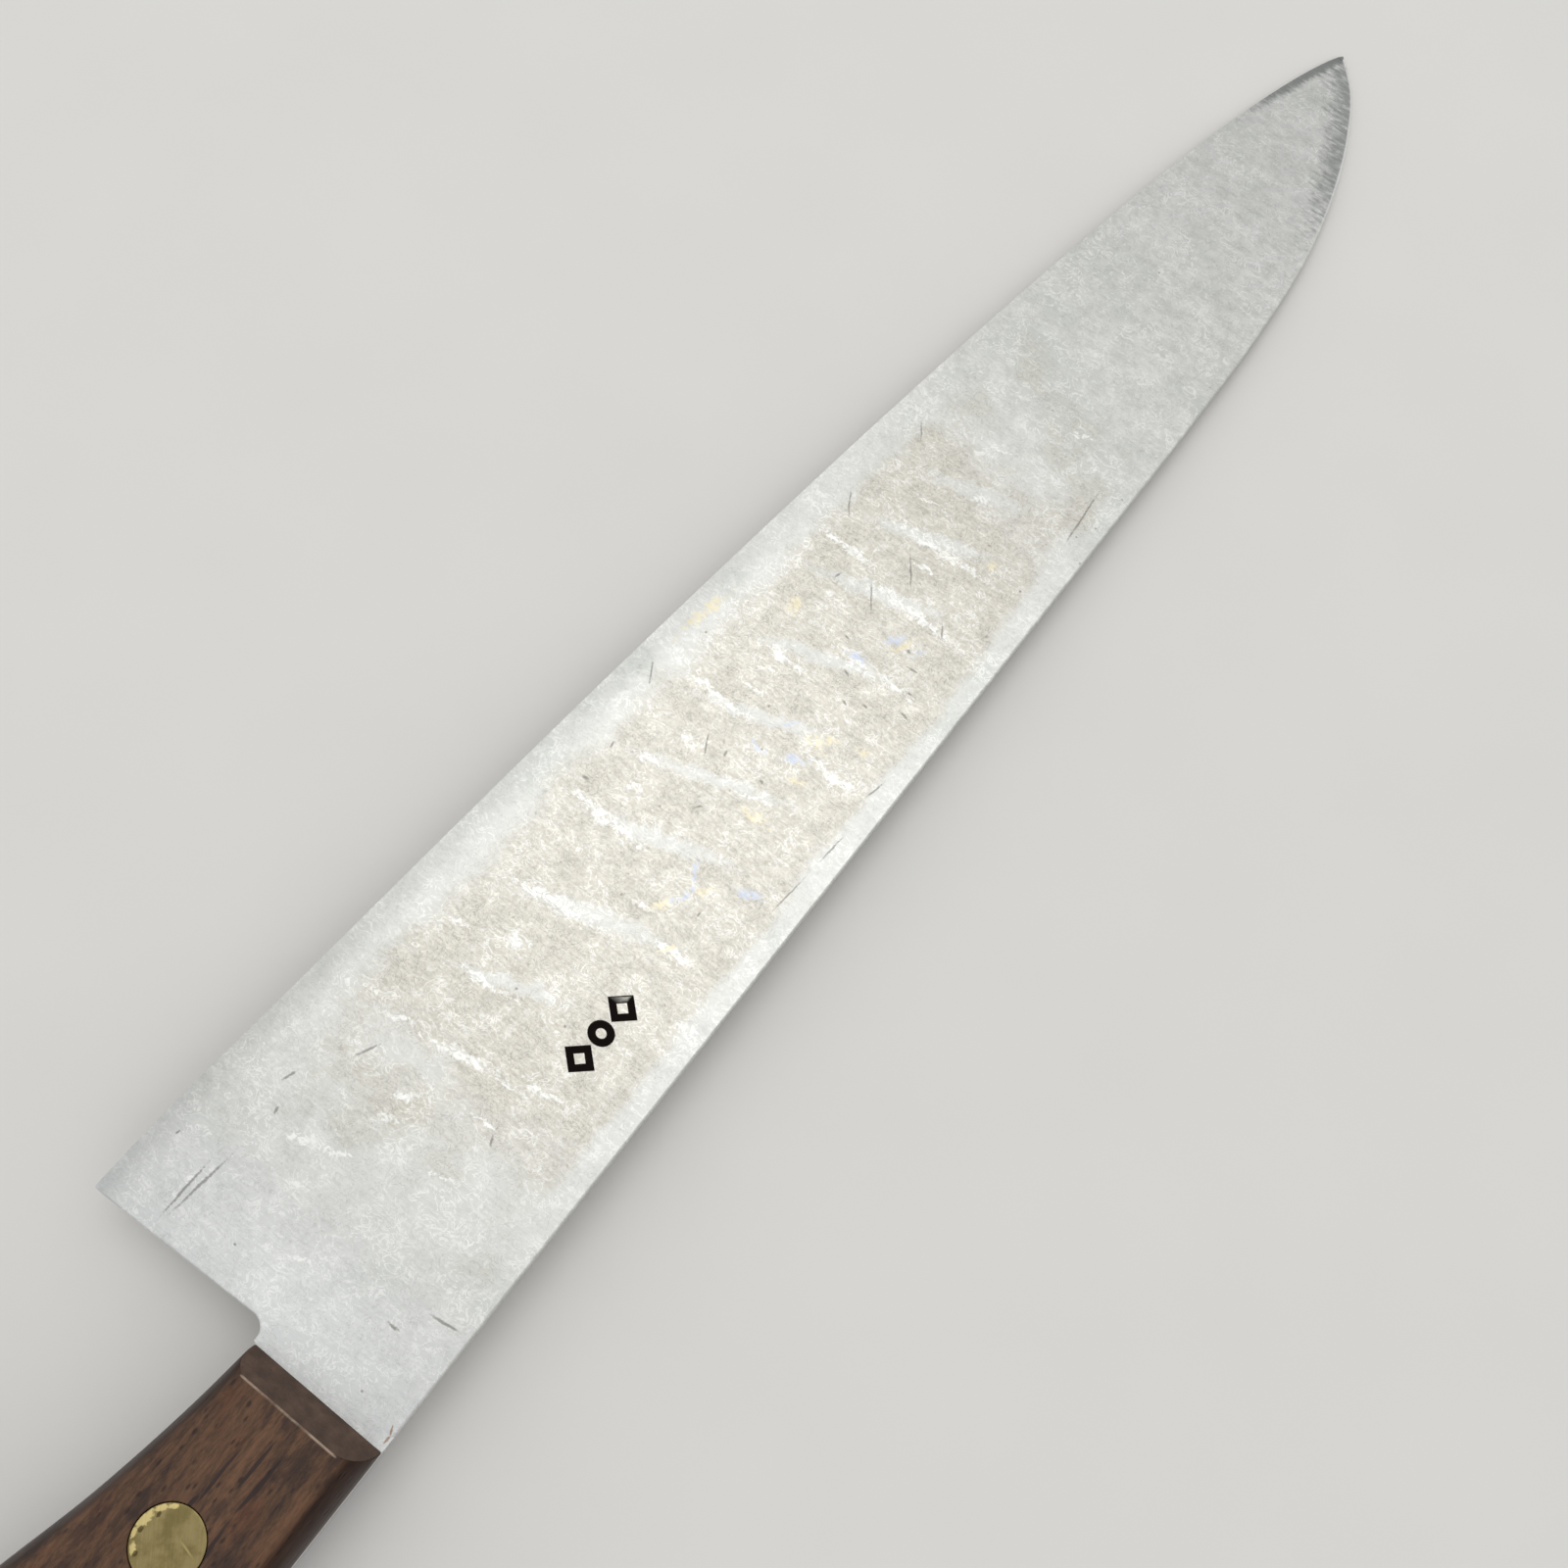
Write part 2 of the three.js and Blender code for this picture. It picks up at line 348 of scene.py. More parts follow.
# The spine stands a hair inside the CAD blade's
spineLine = smoothLine([(-2, 0.0005), (150, 0.0005), (170, 0.1), (190, 0.6), (206, 2.15), (219, 5.15),
                        (229, 8.9), (236, 12.75), (240, 16.3), (241, 17.2)])
edgeLine = smoothLine([(-2, 46.1), (12, 45.65), (30, 44.4), (90, 40.1), (150, 34.4), (190, 29.3),
                       (215, 25.15), (231, 21.3), (238, 18.95), (241, 17.6)])
rivetNames = ("front", "middle", "rear")
rivetPlaces = {name: nodeMiddle(name + "_rivet_socket") for name in rivetNames}
rivetSize = {
    "headRadius": 4.15,
    "headThickness": 2.4,
    "sleeveRadius": 2.5,
    "boreRadius": 1.6,
    "recess": 0.03,
    "rimRound": 0.16,
    "dome": 0.025,             # how far the head's middle stands over its rim
    "domeRings": (0, 0.7, 1.4, 2.1, 2.7, 3.2, 3.6),
    "rimDrop": 0.02,
    "chamfer": 0.1,
    "web": 0.6,                # from the head's underside down to the end of the bore
    "pinShort": 0.9,           # gap between the pin's end and the other head
    "pinPoint": 0.25,
    "segments": 96,
}
# Three plain ornaments are struck into the left face, in a row along the blade
stampShapes = [
    {"centre": (55.7, 10.7), "sides": 4, "outer": (2.15, 2.4), "inner": (0.85, 0.95)},
    {"centre": (51.7, 10.8), "sides": 28, "outer": (1.6, 1.8), "inner": (0.6, 0.7)},
    {"centre": (47.7, 10.9), "sides": 4, "outer": (2.15, 2.4), "inner": (0.85, 0.95)},
]


def groundHalf(x, y):
    return bladeSize["spineHalf"] - bladeSize["distalTaper"] * x - bladeSize["grindSlope"] * y


def shoulderLine(x):
    # Where the thinned band along the edge begins
    return edgeLine(x) - min(bladeSize["bevelWidth"], 0.4 * (edgeLine(x) - spineLine(x)))


def bladeHalf(x, y):
    # Half-thickness of the blade: ground faces, fading into the flat tang, and thinned along the edge
    if x <= 0:
        return bladeSize["spineHalf"]
    spine, edge, shoulder = spineLine(x), edgeLine(x), shoulderLine(x)
    fade = smoothStep(x, 0, bladeSize["neckBlend"])
    neck = spine + min(bladeSize["neckDepth"], 0.43 * (edge - spine))
    keys = [
        (spine, mix(bladeSize["spineHalf"], groundHalf(x, spine), fade)),
        (neck, mix(bladeSize["spineHalf"], groundHalf(x, neck), fade)),
        (shoulder, groundHalf(x, shoulder)),
        (edge, bladeSize["edgeHalf"]),
    ]
    for (y0, half0), (y1, half1) in zip(keys, keys[1:]):
        if y <= y1:
            break
    return mix(half0, half1, min(1, max(0, (y - y0) / (y1 - y0))))


def bladeOutline():
    # The blade's stations stand closer together towards the tip
    tangXs = handleStations(0, 3)[1:]
    bladeXs = steps(0, 190, 95) + steps(190, 236, 46)[1:] + steps(236, 240.4, 11)[1:]
    radius = bladeSize["choilRadius"]
    foot = bladeSize["neckDepth"] + radius
    heelX, heelY = bladeSize["choilTop"], edgeLine(bladeSize["choilTop"])
    tangBack = [(x, handleSides(x)[0]) for x in reversed(tangXs)]
    spine = [(x, spineLine(x)) for x in bladeXs]
    edge = [(x, edgeLine(x)) for x in reversed(bladeXs) if x > heelX + 0.3]
    heel = [(heelX + 0.22, heelY - 0.02), (heelX + 0.06, heelY - 0.12)]
    footX = bladeSize["choilFoot"]
    heel += [(mix(heelX, footX, part), mix(heelY, foot, part)) for part in steps(0, 1, 24)[1:]]
    heel += [(footX - radius + radius * c, foot - radius * s) for s, c in quarterTurn(10)[1:]]
    heel += [(0, bladeSize["neckDepth"]), (0, handleSides(0)[1])]
    tangBelly = [(x, handleSides(x)[1]) for x in tangXs]
    tip = [(240.72, mix(spineLine(240.7), edgeLine(240.7), 0.5))]
    return {"spine": spine, "edge": edge, "heel": heel,
            "whole": tangBack + spine + tip + edge + heel + tangBelly}


def ringAround(centre, sides, radii, reverse=False):
    angles = [2 * math.pi * i / sides for i in range(sides)]
    ring = [(centre[0] + radii[0] * math.cos(a), centre[1] + radii[1] * math.sin(a)) for a in angles]
    return ring[::-1] if reverse else ring


def offsetChain(chain, distance):
    # The same chain moved sideways, towards the left of its direction
    moved = []
    for i, (x, y) in enumerate(chain):
        ahead = chain[min(i + 1, len(chain) - 1)]
        behind = chain[max(i - 1, 0)]
        dx, dy = ahead[0] - behind[0], ahead[1] - behind[1]
        length = math.hypot(dx, dy)
        moved.append((x - dy / length * distance, y + dx / length * distance))
    return moved


def bladeMesh():
    outline = bladeOutline()
    coords, edges, deep = [], [], set()

    def addRun(run, closed=True, isDeep=False):
        first = len(coords)
        coords.extend(Vector(point) for point in run)
        count = len(run)
        edges.extend((first + i, first + (i + 1) % count) for i in range(count if closed else count - 1))
        if isDeep:
            deep.update(range(first, first + count))
        return list(range(first, first + count))

    borders = [addRun(outline["whole"])]
    boreRadius = rivetSize["sleeveRadius"] + handle["glueLine"]
    bores = [ringAround(place, bladeSize["boreSteps"], (boreRadius, boreRadius), reverse=True)
             for place in rivetPlaces.values()]
    borders += [addRun(bore) for bore in bores]
    wall = bladeSize["stampWall"]
    for shape in stampShapes:
        for ring, inset in (("outer", 0), ("outer", wall), ("inner", -wall), ("inner", 0)):
            radii = [radius - inset for radius in shape[ring]]
            addRun(ringAround(shape["centre"], shape["sides"], radii), isDeep=inset != 0)
    # Close rows beside the spine and the heel carry the eased corners
    easing = bladeSize["spineRound"]
    plainSpine = [point for point in outline["spine"] if 1.0 < point[0] < 239]
    for part in (0.12, 0.35, 0.7, 1, 1.4):
        addRun(offsetChain(plainSpine, part * easing), closed=False)
    plainHeel = outline["heel"][3:-4]
    for part in (0.3, 1, 2):
        addRun(offsetChain(plainHeel, part * bladeSize["heelRound"]), closed=False)
    addRun([(x, shoulderLine(x)) for x, _ in outline["spine"] if 4 < x < 239], closed=False)
    # Loose points fill the faces, clear of the fixed rows
    fixed = np.array([(p.x, p.y) for p in coords])
    step = bladeSize["meshStep"]
    loose = []
    for x in steps(1, 239.2, round(238 / step)):
        top, bottom = spineLine(x) + 0.9, edgeLine(x) - 0.6
        rows = max(1, round((bottom - top) / step))
        loose += [(x, y) for y in steps(top, bottom, rows)]
    for x in steps(-114, -1.5, 34):
        back, belly = handleSides(x)
        loose += [(x, y) for y in steps(back + 1.6, belly - 1.6, 7)]
    heelSide = [bladeSize["choilFoot"] + 0.8, bladeSize["neckDepth"] - 0.8]
    for x, y in loose:
        nearest = np.abs(fixed - (x, y)).max(1).min()
        behindHeel = x < heelSide[0] and y > heelSide[1]
        inBore = any(math.hypot(x - p.x, y - p.y) < boreRadius + 0.5 for p in rivetPlaces.values())
        if nearest > 0.45 and not behindHeel and not inBore:
            coords.append(Vector((x, y)))
    flat, _, triangles, origins, _, _ = delaunay_2d_cdt(coords, edges, [], 1, 1e-6, True)
    place = {source: i for i, sources in enumerate(origins) for source in sources}
    sunk = {place[i] for i in deep}

    points = np.array([(p[0], p[1]) for p in flat])
    middles = points[np.array(triangles)].mean(1)
    inside = insideOf(outline["whole"], middles)
    for bore in bores:
        inside &= ~insideOf(bore, middles)
    triangles = [triangle for triangle, kept in zip(triangles, inside) if kept]
    fromSpine = distanceTo(outline["spine"], points)
    fromEdge = distanceTo(outline["edge"], points)
    fromHeel = distanceTo(outline["heel"][2:-2], points)
    halves = []
    for (x, y), spineGap, heelGap in zip(points, fromSpine, fromHeel):
        half = bladeHalf(x, y)
        if x > 0.6:
            for gap, radius in ((spineGap, easing), (heelGap, bladeSize["heelRound"])):
                reach = max(0, radius - gap)
                radius = min(radius, 0.6 * half)
                reach = min(reach, radius)
                half -= radius - math.sqrt(max(0, radius ** 2 - reach ** 2))
        halves.append(max(half, 0.03))
    count = len(points)
    vertices = []
    for side in (1, -1):
        for i, (x, y) in enumerate(points):
            depth = bladeSize["stampDepth"] if side > 0 and i in sunk else 0
            vertices.append((x, y, side * (halves[i] - depth)))
    faces = [tuple(triangle) for triangle in triangles]
    faces += [tuple(count + i for i in reversed(triangle)) for triangle in triangles]
    for border in borders:
        ring = [place[i] for i in border]
        for here, following in zip(ring, ring[1:] + ring[:1]):
            faces.append((count + here, count + following, following, here))
    mesh = bpy.data.meshes.new("bladeSteel")
    mesh.from_pydata(vertices, [], faces)
    mesh.validate()
    storeNumbers(mesh, "fromSpine", np.tile(fromSpine, 2))
    storeNumbers(mesh, "fromEdge", np.tile(fromEdge, 2))
    storeNumbers(mesh, "inStamp", [1.0 if i in sunk else 0.0 for i in range(2 * count)])
    return mesh


def scaleRing(x):
    # Section of the left scale at x, from the belly over the outer face to the back
    back, belly = handleSides(x)
    inner = bladeSize["spineHalf"] + handle["glueLine"]
    into = max(0, (handle["buttDropLength"] - handle["length"] - x) / handle["buttDropLength"])
    outer = handle["half"] - handle["buttDrop"] * (1 - math.sqrt(max(0, 1 - into ** 2)))
    squeeze = min(1, (belly - back) / (2.5 * handle["backRound"]))
    bellyDepth, backDepth = handle["bellyRound"] * squeeze, handle["backRound"] * squeeze
    rise = quarterTurn(handle["sideSteps"])
    ring = [(belly - bellyDepth * (1 - c), inner + (outer - inner) * s) for s, c in rise]
    flat = steps(belly - bellyDepth, back + backDepth, handle["flatSteps"])
    ring += [(y, outer) for y in flat[1:-1]]
    return ring + [(back + backDepth * (1 - c), inner + (outer - inner) * s) for s, c in reversed(rise)]


def rakedFront(z):
    return -0.1 - handle["rake"] * (z - bladeSize["spineHalf"])


def scaleMesh(side):
    inner = bladeSize["spineHalf"] + handle["glueLine"]
    bevel = handle["frontBevel"]
    profile = scaleRing(-3)
    middle = (profile[0][0] + profile[-1][0]) / 2
    frontRing, arrisRing = [], []
    for j, (_, z) in enumerate(profile):
        y = scaleRing(rakedFront(z))[j][0]
        lift = (z - inner) / (handle["half"] - inner)
        arrisRing.append((rakedFront(z) - bevel, y, z))
        lowZ = z - bevel * lift
        towards = bevel * (1 - lift) * (1 if y < middle else -1)
        frontRing.append((rakedFront(lowZ), y + towards, lowZ))
    rings = [frontRing, arrisRing]
    for x in handleStations(-3, 1):
        rings.append([(x, y, z) for y, z in scaleRing(x)])
    count = len(profile)
    vertices = [(x, y, z * side) for ring in rings for x, y, z in ring]
    faces = []
    for r in range(len(rings) - 1):
        for j in range(count):
            here, following = r * count + j, r * count + (j + 1) % count
            faces.append((here, here + count, following + count, following))
    last = (len(rings) - 1) * count
    faces.append(tuple(range(count)))
    faces.append(tuple(last + j for j in reversed(range(count))))
    if side < 0:
        faces = [tuple(reversed(face)) for face in faces]
    mesh = bpy.data.meshes.new("scaleWood")
    mesh.from_pydata(vertices, [], faces)
    mesh.materials.append(None)
    mesh.materials.append(None)
    mesh.polygons[len(mesh.polygons) - 2].material_index = 1    # the front face shows the end grain
    return mesh


def turnedMesh(name, profile, side, centre):
    # Lathe profile of (radius, height) turned about z; it starts and ends on the axis
    body = bmesh.new()
    segments = rivetSize["segments"]
    rings = []
    for radius, height in profile:
        if radius < 1e-6:
            rings.append([body.verts.new((centre[0], centre[1], height * side))])
        else:
            rings.append([body.verts.new((x, y, height * side))
                          for x, y in ringAround(centre, segments, (radius, radius))])
    for low, high in zip(rings, rings[1:]):
        for i in range(segments):
            k = (i + 1) % segments
            if len(low) == 1:
                body.faces.new((low[0], high[i], high[k]))
            elif len(high) == 1:
                body.faces.new((low[i], high[0], low[k]))
            else:
                body.faces.new((low[i], high[i], high[k], low[k]))
    bmesh.ops.recalc_face_normals(body, faces=body.faces)
    mesh = bpy.data.meshes.new(name)
    body.to_mesh(mesh)
    body.free()
    return mesh


def cutAway(mesh, cutterMeshes):
    piece = addObject("blank", mesh)
    cutters = []
    for cutterMesh in cutterMeshes:
        cutter = addObject("cutter", cutterMesh)
        modifier = piece.modifiers.new("cut", "BOOLEAN")
        modifier.operation = "DIFFERENCE"
        modifier.solver = "EXACT"
        modifier.object = cutter
        cutters.append(cutter)
    bpy.context.view_layer.update()
    evaluated = piece.evaluated_get(bpy.context.evaluated_depsgraph_get())
    result = bpy.data.meshes.new_from_object(evaluated)
    for extra in cutters + [piece]:
        bpy.data.objects.remove(extra)
    return result


def rivetHole(place, side):
    gap = handle["glueLine"]
    shaft = rivetSize["sleeveRadius"] + gap
    head = rivetSize["headRadius"] + 1.6 * gap
    seat = handle["half"] - rivetSize["recess"] - rivetSize["headThickness"] - gap
    top = handle["half"]
    profile = [(0, 0.5), (shaft, 0.5), (shaft, seat), (head, seat), (head, top - 0.08),
               (head + 0.1, top + 0.02), (head + 0.1, top + 1), (0, top + 1)]
    return turnedMesh("rivetHole", profile, side, place)


def headProfile(face, underHead):
    # Ground flush and a little domed, with an eased rim
    radius, rim = rivetSize["headRadius"], rivetSize["rimRound"]
    top = face - rivetSize["rimDrop"]
    dome = [(r, top + rivetSize["dome"] * (1 - (r / radius) ** 2)) for r in rivetSize["domeRings"]]
    corner = [(radius - rim + rim * s, top - rim + rim * c) for s, c in quarterTurn(5)]
    return dome + corner + [(radius, underHead + 0.05), (radius - 0.05, underHead)]


def rivetSocketProfile():
    face = handle["half"] - rivetSize["recess"]
    underHead = face - rivetSize["headThickness"]
    sleeveEnd = -underHead + 2 * handle["glueLine"]
    boreEnd = underHead - rivetSize["web"]
    sleeve, bore, cut = rivetSize["sleeveRadius"], rivetSize["boreRadius"], rivetSize["chamfer"]
    return headProfile(face, underHead) + [(sleeve + cut, underHead), (sleeve, underHead - cut),
                                           (sleeve, sleeveEnd + cut), (sleeve - cut, sleeveEnd),
                                           (bore + cut, sleeveEnd), (bore, sleeveEnd + cut),
                                           (bore, boreEnd), (0, boreEnd)]


def rivetPinProfile():
    face = handle["half"] - rivetSize["recess"]
    underHead = face - rivetSize["headThickness"]
    pin = rivetSize["boreRadius"] - handle["glueLine"]
    pinEnd, point = rivetSize["pinShort"] - underHead, rivetSize["pinPoint"]
    return headProfile(face, underHead) + [(pin, underHead), (pin, pinEnd + point), (pin - point, pinEnd),
                                           (0, pinEnd)]


steelLook = {
    "clean": "#C9C9C4",
    "cloud": "#D7D7D2",
    "haze": "#C5C7C1",
    "paleNearHandle": "#D4D6D5",
    "patina": "#C1BCAF",
    "patinaPale": "#CECABF",
    "streak": "#EAEAE5",
    "yellow": "#DFD6B9",
    "blue": "#C2C9D6",
    "rust": "#9C775F",
    "scratch": "#7D7C76",
    "pit": "#7B7466",
    "wornTip": "#8A8C89",
    # painted highlight colour along the rounded spine near the tip
    "rim": "#E4E4E0",
    "oxide": "#1E1917",
    "roughness": 0.40,
    "gritSpacing": 0.30,       # real grinding lines are 0.1 mm apart; coarser here, so that they show
    "pitSpacing": 2.9,
    "pitShare": 0.22,          # share of the cells that hold a pit
    "filmStart": (8, 66),      # x over which the beige film begins, and ends
    "filmEnd": (110, 176),
    "filmStrength": 0.9,
    "filmSpeckle": 0.06,       # how much more the grinding lines show in the film
    "scrapedFrom": (194, 224),
    "dullFrom": (214, 232),
    "wideBend": 3.2,
    "thinBend": 0.5,
    "rightShift": (17, -4, 0),
}
# Marks of use on the left face: x, y to x, y and the width
bladeMarks = {
    "band": [
        (46, 33, 53, 14, 3), (58, 36, 67, 6, 4.5), (71, 36, 80, 6, 3.6), (81, 36, 91, 5, 3.4),
        (92, 35, 102, 6, 3), (104, 33, 113, 7, 3.6), (117, 33, 125, 6, 4), (128, 31, 136, 6, 3.6),
        (139, 28, 145, 7, 4),
    ],
    "streak": [
        (40.8, 12, 37.5, 31.5, 2.3), (42.8, 8, 40.2, 16.4, 1.6), (37.4, 7.6, 37.4, 11.7, 1.3),
        (3.6, 38.1, 12.1, 37.7, 0.8), (22, 25, 19, 34, 1.8), (32.5, 23, 29.8, 27, 1.8),
        (48.4, 19.3, 47.2, 32, 1.8), (39.3, 28, 36.5, 34.4, 1.6), (21.4, 24.3, 21.4, 27.8, 1.5),
        (28.6, 23.3, 28.2, 26.3, 1.4), (62.2, 17.5, 59.5, 35, 3.5), (65.5, 5.5, 64.5, 15.5, 2.1),
        (57.5, 1.5, 59, 4.5, 3.7), (54, 25.5, 54, 27.5, 4.2), (73.2, 19, 73.5, 37, 2.6),
        (83.5, 27, 82.7, 31.5, 1.8), (88, 25, 88.7, 28, 1.8), (95.5, 21, 95.5, 34, 2.3),
        (105.7, 19.5, 104.7, 30, 2.6), (111, 5.5, 112.2, 13, 2), (121.2, 2.5, 122, 24, 2.3),
        (123.7, 20.5, 123.7, 34, 2.3), (131.5, 5, 131.3, 30, 2.8), (96, 3.5, 96, 13.5, 2.6),
        (141.5, 15.5, 141.5, 17.5, 2.6), (110, 14, 112, 18, 3.3), (66.5, 20, 68, 14, 1.2),
        (78, 30, 79.5, 25, 1.2), (86.5, 17, 88.5, 11, 1.1), (99, 27, 100, 22, 1.2),
        (116, 27, 117, 22, 1.3), (127, 20, 128.5, 13, 1.2), (34, 18, 35.5, 12, 1.2),
        (15, 30, 16.5, 25, 1.1), (26, 17, 27.5, 12, 1.2), (136, 25, 137, 20, 1.2),
        (149, 22, 150, 16, 1.3), (158, 14, 159.5, 8, 1.2), (51, 36, 52, 31, 1.3), (9, 24, 10, 19, 1.1),
    ],
    "yellow": [
        (76, 10.2, 71, 14, 1.6), (71, 14, 67, 16.5, 1.8), (85, 10, 85.7, 16.5, 1.8),
        (98.5, 12, 98.5, 13.5, 2.6), (100, 11, 100, 12.5, 2.1), (101.5, 6.5, 101.5, 8, 2.1),
        (111, 26, 113.5, 28.5, 2.3), (134, 9, 134, 10, 2.3), (96.9, 37, 110, 35, 2.3),
        (114.5, 13.4, 119.5, 11.2, 1.8), (86, 6, 88, 5.5, 1.3), (64, 12, 66, 10, 1.3),
        (92, 13, 93, 11, 1.4),
    ],
    "blue": [
        (77.5, 4.5, 76, 10, 1.8), (74.5, 11.8, 69.5, 15.2, 1.5), (95.6, 12, 94, 16, 2),
        (93.4, 17, 93, 20, 1.8), (111.5, 14.6, 111.5, 17.5, 2.1), (115, 14.6, 119, 12.6, 1.6),
        (96.5, 19, 99.5, 16.5, 1.3), (73.5, 13.5, 76.5, 15.5, 1.1), (116, 10.5, 118, 9, 1.2),
    ],
    "scratch": [
        (123, 15.4, 129.5, 20.2, 0.42), (116.6, 17.4, 123, 22.2, 0.38), (126, 28.5, 132.5, 32.7, 0.4),
        (143, 28.3, 146.5, 30.8, 0.4), (120, 8, 123.5, 10.5, 0.4), (86.9, 22.9, 91.8, 25.4, 0.4),
        (90.3, 34.7, 94.9, 37.6, 0.42), (81.4, 20.3, 82.6, 19, 0.6), (1.4, 37.6, 13.5, 37.6, 0.6),
        (1.8, 37.2, 16, 35.8, 0.62), (23.2, 37.6, 26.2, 36.6, 0.6), (29.8, 33.1, 35.6, 30.4, 0.55),
        (14.3, 6.4, 14.9, 1, 0.6), (75, 3.8, 85, 2.9, 0.34), (84.5, 2.95, 92, 2.35, 0.34),
        (96, 3.5, 100.4, 2.6, 0.42), (140.5, 3.5, 156, 4.75, 0.5),
    ],
    "curl": [
        (113.1, 19.4, 113, 18.4, 0.55), (109.2, 16.6, 108.6, 15.2, 0.5),
        (105.6, 14.2, 105.2, 12.9, 0.5), (106.6, 11.5, 106.6, 10.5, 0.5), (109, 7.3, 108.6, 4.9, 0.55),
        (114.6, 10.2, 115, 8, 0.5), (116.7, 11.5, 116.5, 10.7, 0.7), (111.8, 7.9, 111.8, 7.1, 0.6),
        (76, 34.1, 75.9, 32.8, 0.7), (81.1, 33.6, 82.2, 33.8, 0.5), (89.3, 21.2, 90.4, 21.5, 0.6),
        (89.8, 15.6, 89.7, 15.1, 0.7), (118.7, 25.5, 120.3, 25.1, 0.5), (32.6, 12.3, 34.5, 13.4, 0.6),
        (10.7, 9.1, 10.7, 6.8, 0.8), (20.1, 35.4, 21.1, 35.6, 0.6), (11.3, 42.8, 12.1, 42.7, 0.5),
        (70.3, 10.7, 71.3, 10.7, 0.5),
    ],
    "rust": [(0.6, 0.5, 1.7, 0.4, 0.5), (1.6, 0.4, 2.9, 1.0, 0.4)],
}


def raggedMask(tree, spindle, noise, reach, scatter, low, high, strength):
    # A mark that is broken up by a noise: solid along its middle, in scraps towards its outline
    lifted = times(tree, minus(tree, noise, 0.5), scatter)
    value = plus(tree, times(tree, spindle, reach), lifted)
    return times(tree, remap(tree, value, low, high, 0, strength), remap(tree, spindle, 0, 0.3))


def wanderBy(tree, noise):
    # The colour of a noise as a direction that averages to nothing
    return vectorMaths(tree, "SUBTRACT", noise.node.outputs["Color"], (0.5, 0.5, 0.5))


def scatteredSpots(tree, at, spacing, share, inner, outer):
    # A spot in some of the cells of a loose net, whose cells are `spacing` mm apart
    cells = addNode(tree, "Mapping", {}, {"Vector": at, "Scale": tuple(1 / gap for gap in spacing)})
    net = addNode(tree, "TexVoronoi", {}, {"Vector": cells, "Scale": 1, "Randomness": 1}).node
    chosen = addNode(tree, "SeparateColor", {}, {0: net.outputs["Color"]}).node.outputs[0]
    spots = remap(tree, net.outputs["Distance"], inner, outer, 1, 0)
    return times(tree, spots, maths(tree, "LESS_THAN", chosen, share))


def shadeBy(tree, colour, tone):
    grey = addNode(tree, "CombineColor", {}, {0: tone, 1: tone, 2: tone})
    return blendColour(tree, 1.0, colour, grey, "MULTIPLY")


def hairLines(tree, noise, width):
    # Thin wandering lines, where a noise passes through its middle value
    away = maths(tree, "ABSOLUTE", minus(tree, noise, 0.5))
    return remap(tree, away, width * 0.3, width, 1, 0)


